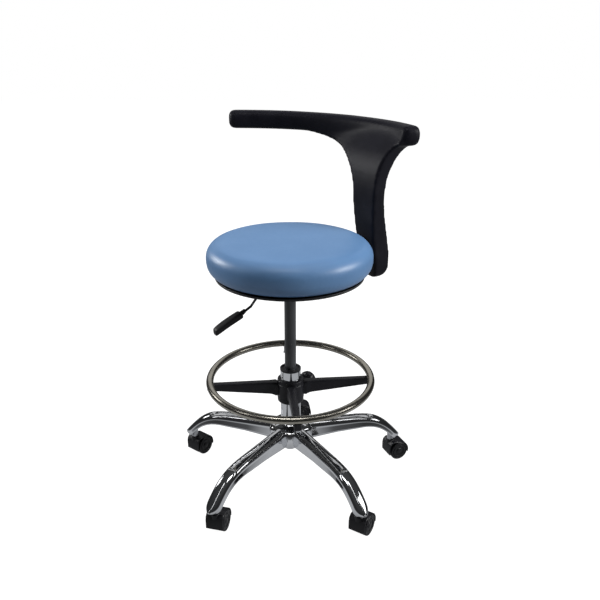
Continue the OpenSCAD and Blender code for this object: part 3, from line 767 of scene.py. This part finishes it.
def area_light(name, at, aim, size, power, mirrored=True, spared=None):
    """Soft panel. Mirrored shows it in reflections, and spared is a collection that it doesn't light."""
    data = bpy.data.lights.new(name, "AREA")
    data.shape = "RECTANGLE"
    data.size, data.size_y = size
    data.energy = power
    obj = bpy.data.objects.new(name, data)
    obj.location = at
    obj.rotation_euler = (Vector(aim) - Vector(at)).to_track_quat("-Z", "Y").to_euler()
    obj.visible_camera = False
    obj.visible_glossy = mirrored
    bpy.context.scene.collection.objects.link(obj)
    if spared:
        obj.light_linking.receiver_collection = spared


def polished_pieces():
    """Collection of the mirror-bright pieces, marked as left out of a light."""
    group = bpy.data.collections.new("polished")
    bright = (MATERIALS["chrome"], MATERIALS["ring_nickel"])
    for obj in bpy.context.scene.objects:
        if obj.type == "MESH" and any(m in bright for m in obj.data.materials):
            group.objects.link(obj)
    for entry in group.collection_objects:
        entry.light_linking.link_state = "EXCLUDE"
    return group


def around(azimuth, elevation, distance, height=0.5):
    """Point seen from the stool's middle in a direction given in degrees."""
    a, e = math.radians(azimuth), math.radians(elevation)
    return (distance * math.cos(e) * math.cos(a), distance * math.cos(e) * math.sin(a),
            height + distance * math.sin(e))


def make_studio_air():
    """World whose brightness follows STUDIO_TONES, for the metal to mirror."""
    world = bpy.data.worlds.new("studio")
    world.use_nodes = True
    tree = world.node_tree
    coords = tree.nodes.new("ShaderNodeTexCoord")
    split = tree.nodes.new("ShaderNodeSeparateXYZ")
    span = tree.nodes.new("ShaderNodeMapRange")
    span.inputs["From Min"].default_value = -1.0
    ramp = tree.nodes.new("ShaderNodeValToRGB")
    stops = ramp.color_ramp.elements
    for height, tone in STUDIO_TONES[1:-1]:
        stops.new((height + 1) / 2)
    for stop, (height, tone) in zip(stops, STUDIO_TONES):
        stop.position = (height + 1) / 2
        stop.color = (tone * 0.97, tone * 0.99, tone * 1.02, 1)
    tree.links.new(coords.outputs["Generated"], split.inputs["Vector"])
    tree.links.new(split.outputs["Z"], span.inputs["Value"])
    tree.links.new(span.outputs["Result"], ramp.inputs["Fac"])
    tree.links.new(ramp.outputs["Color"], tree.nodes["Background"].inputs["Color"])
    bpy.context.scene.world = world


def backdrop(name, mesh, glow, tone):
    """A white surface that only the camera sees."""
    mat = bpy.data.materials.new(name)
    mat.use_nodes = True
    shader = mat.node_tree.nodes["Principled BSDF"]
    shader.inputs["Base Color"].default_value = (tone, tone, tone, 1)
    shader.inputs["Roughness"].default_value = 1.0
    shader.inputs["Specular IOR Level"].default_value = 0.0
    shader.inputs["Emission Color"].default_value = (1, 1, 1, 1)
    shader.inputs["Emission Strength"].default_value = glow
    mesh.materials.append(mat)
    obj = bpy.data.objects.new(name, mesh)
    bpy.context.scene.collection.objects.link(obj)
    obj.visible_diffuse = False
    obj.visible_glossy = False
    obj.visible_shadow = False


def make_setting():
    make_studio_air()
    bpy.context.scene.view_settings.view_transform = "Standard"

    floor = bpy.data.meshes.new("floor")
    half = 12.0
    floor.from_pydata([(-half, -half, 0), (half, -half, 0), (half, half, 0), (-half, half, 0)],
                      [], [(0, 1, 2, 3)])
    backdrop("floor", floor, 1.0, 0.2)
    verts, faces = lathe([(0.01, -9.0), (9, -8), (14, -2), (14, 8), (9, 14), (0.01, 15)], 48)
    sky = bpy.data.meshes.new("backdrop")
    sky.from_pydata(verts, [], faces)
    backdrop("backdrop", sky, 1.0, 0.0)

    seat, base = (0, 0, 0.6), (0, 0, 0.12)
    area_light("top", (0.1, 0.5, 3.2), seat, (2.4, 2.0), 46, mirrored=False)
    area_light("rear", around(92, 30, 4.0), seat, (5.0, 2.4), 19)
    polished = polished_pieces()
    area_light("left", around(158, 19, 3.0), seat, (0.9, 0.7), 42, spared=polished)
    area_light("right", around(-11, 21, 3.0), seat, (1.2, 0.6), 62, spared=polished)
    area_light("left_card", around(158, 19, 3.2), seat, (0.9, 0.7), 7)
    area_light("right_card", around(-15, 21, 3.2), seat, (0.9, 0.7), 7)
    area_light("brow", around(-100, 66, 3.0), seat, (1.8, 0.6), 19)
    area_light("strip_left", around(205, 30, 2.8), base, (0.2, 1.8), 3)
    area_light("strip_right", around(-35, 44, 2.8), base, (0.2, 1.8), 3)


make_setting()
